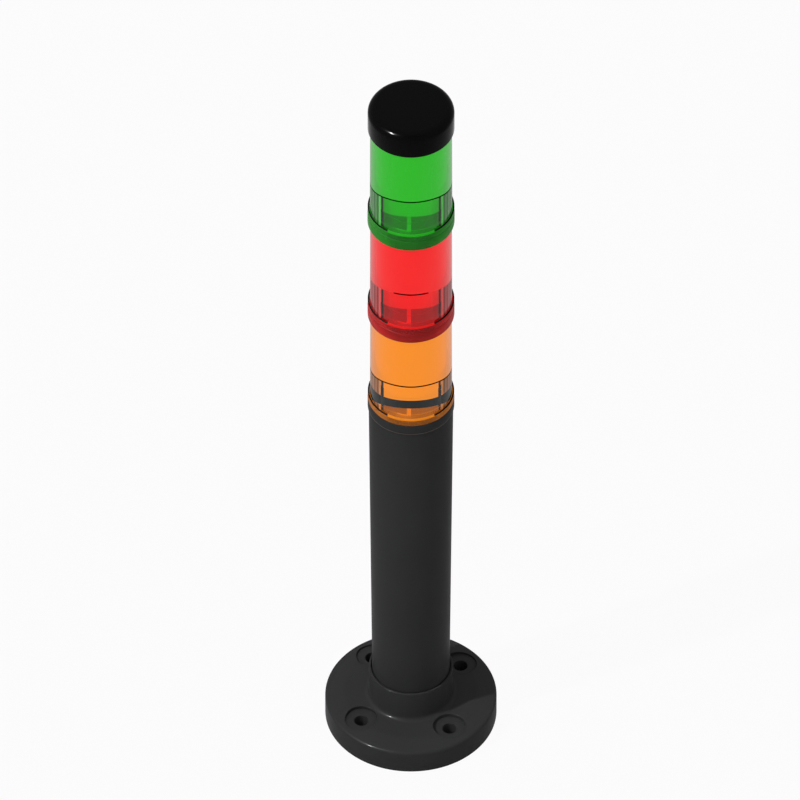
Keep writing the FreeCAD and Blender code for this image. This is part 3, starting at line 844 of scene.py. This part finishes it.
def paint_nodes():
    """Give the CAD nodes that stay their materials."""
    finishes = {
        "black_body": SATIN, "cap_gloss": GLOSS, "black_rubber": RUBBER,
        "grey_plastic": GREY, "white_plastic": WHITE, "board": BOARD, "lamp": LAMP,
        "contact_metal": CONTACT, "steel": STEEL,
        "amber_lens": CLEAR["amber"], "red_lens": CLEAR["red"], "green_lens": CLEAR["green"],
    }
    # The contact plates, the carriers under them and the terminal block get painted lamp
    # glow.
    lit = {colour + "_contact_plate": LIT_GREY[colour] for colour in COLOURS}
    below = ("terminal_carrier", "amber_contact_carrier", "red_contact_carrier")
    lit.update({name: LIT_GREY[colour] for name, colour in zip(below, COLOURS)})
    lit["terminal_block"] = LIT_GREY["amber"]
    for entry in frame["record"]["subparts"]:
        name = entry["node"]
        nodes[name].data.materials.clear()
        nodes[name].data.materials.append(lit.get(name, finishes[entry["material_slot"]]))


def floor():
    """A pale floor that keeps a soft shadow."""
    mesh = bpy.data.meshes.new("floor")
    side = 30.0
    mesh.from_pydata([(-side, -side, 0), (side, -side, 0), (side, side, 0), (-side, side, 0)],
                     [], [(0, 1, 2, 3)])
    piece = new_piece("floor", mesh)
    finish = Finish("pale_floor")
    diffuse = finish.node("ShaderNodeBsdfDiffuse", {}, {"Color": grey(0.55)})
    glow = finish.node("ShaderNodeEmission", {}, {"Color": BACKDROP, "Strength": 1.014})
    path = finish.node("ShaderNodeLightPath")
    seen = [Value(finish, path.socket.node.outputs[name]) for name in (
        "Is Camera Ray", "Is Glossy Ray", "Is Transmission Ray")]
    share = finish.math("MAXIMUM", finish.math("MAXIMUM", seen[0], seen[1]), seen[2]) * 0.97
    mesh.materials.append(finish.surface(finish.node(
        "ShaderNodeMixShader", {}, {0: share, 1: diffuse, 2: glow})))


def world():
    """Soft light that is stronger from above, with white behind everything that the
    camera, gloss or glass sees, and a dim patch above the front for gloss."""
    sky = bpy.data.worlds.new("studio")
    sky.use_nodes = True
    shape = Tree(sky.node_tree)
    split = shape.node("ShaderNodeSeparateXYZ", {}, {
        "Vector": shape.node("ShaderNodeTexCoord", output=0)}, output=2)
    forward, up = Value(shape, split.socket.node.outputs[1]), split
    path = shape.node("ShaderNodeLightPath")
    light = shape.node("ShaderNodeBackground", {}, {
        "Color": grey(1.0), "Strength": 0.38 + 0.4 * shape.math("MAXIMUM", up, 0.0)})
    shown = shape.node("ShaderNodeBackground", {}, {"Color": BACKDROP})
    front = shape.math("MAXIMUM", (up - forward) * 0.707, 0.0) ** 6
    mirrored = shape.node("ShaderNodeBackground", {}, {
        "Color": BACKDROP, "Strength": 1 - 0.85 * front})
    for name, backdrop in (("Is Camera Ray", shown), ("Is Glossy Ray", mirrored),
                           ("Is Transmission Ray", shown)):
        seen = Value(shape, path.socket.node.outputs[name])
        light = shape.node("ShaderNodeMixShader", {}, {0: seen, 1: light, 2: backdrop})
    shape.feed(shape.tree.nodes.new("ShaderNodeOutputWorld").inputs["Surface"], light)
    scene.world = sky


def sun(name, direction, energy, size):
    """A far lamp that shines from a direction."""
    lamp = bpy.data.lights.new(name, "SUN")
    lamp.energy = energy
    lamp.angle = math.radians(size)
    holder = bpy.data.objects.new(name, lamp)
    holder.rotation_mode = "QUATERNION"
    holder.rotation_quaternion = Vector(direction).to_track_quat("Z", "Y")
    scene.collection.objects.link(holder)
    return holder


def lamps():
    """One soft-edged key from the left, a little in front and above, and a small lamp
    beside it that shows only as a gleam on rounded edges."""
    sun("key", (-0.55, -0.27, 0.79), 2.0, 2.0).visible_glossy = False
    sun("gleam", (-0.615, -0.41, 0.675), 30.0, 3.5).visible_diffuse = False


def camera():
    """A very long lens at 45 degrees above the front."""
    lens_length = 1700.0
    sensor = 36.0
    width = 370.37 * MM
    distance = width * lens_length / sensor
    rise = math.radians(45.0)
    aim = Vector((-5.09, 0, 205.0)) * MM
    data = bpy.data.cameras.new("camera")
    data.lens = lens_length
    data.sensor_width = sensor
    data.clip_start = 0.1
    data.clip_end = 60.0
    holder = bpy.data.objects.new("camera", data)
    back = Vector((0, -math.cos(rise), math.sin(rise)))
    holder.location = aim + back * distance
    holder.rotation_mode = "QUATERNION"
    holder.rotation_quaternion = back.to_track_quat("Z", "Y")
    scene.collection.objects.link(holder)
    scene.camera = holder


scene.view_settings.view_transform = "Standard"
scene.cycles.transparent_max_bounces = 48
camera()
world()
lamps()
floor()
paint_nodes()

RIBS = ribs_tree()
STRIPS = strip_tree()
flange()
pole()
tier_ring("base_ring", "base", RING_BLACK, "black_body")
for number, colour in enumerate(COLOURS):
    foot = TIER_FOOT + number * TIER_PITCH
    lens(colour, foot)
    tube(colour + "_diffuser", colour + "_tier", OPAL[colour], "white_plastic",
         DIFFUSER_BORE)
    tube(colour + "_board_holder", colour + "_tier", OPAL[colour], "white_plastic",
         SLEEVE_BORE)
    # The black strips on the ledge stand in for the dark shadow line at the collar's top
    # edge.
    strips = grown(colour + "_ledge_strips", STRIPS, Gap=2 * GRIP_HALF_ANGLE,
                   Radius=COLLAR_RADIUS, Foot=foot + COLLAR_HEIGHT + STRIP_LIFT,
                   Material=RUBBER, **STRIP)
    dress(strips, colour + "_tier", RUBBER, "black_rubber", colour + "_edge_strips")
    ribs = grown(colour + "_grip_ribs", RIBS, Radius=COLLAR_RADIUS - RIB_DEPTH,
                 Foot=foot + RING_HEIGHT + RIB_LIFT, Material=CLEAR[colour], **RIB)
    dress(ribs, colour + "_tier", CLEAR[colour], colour + "_lens")
    # Black bars on the skirt, in front and behind, put in as streaks of shade seen through
    # the wall.
    for part, (low, tall) in enumerate(SHADE_BAR_SECTIONS[colour]):
        shade_bars = grown("%s_skirt_shade_bars_%d" % (colour, part), RIBS,
                     Radius=SKIRT_RADIUS + SHADE_BAR_PROUD, Foot=foot + low * MM,
                     Height=tall * MM, Material=RUBBER, **SHADE_BAR)
        dress(shade_bars, colour + "_tier", RUBBER, "black_rubber")
    if number:
        tier_ring(colour + "_locking_ring", colour + "_tier", CLEAR[colour], colour + "_lens")
tube("amber_skirt_band", "amber_tier", RUBBER, "black_rubber",
     SKIRT_RADIUS + BAND_BORE_GAP)
cap()
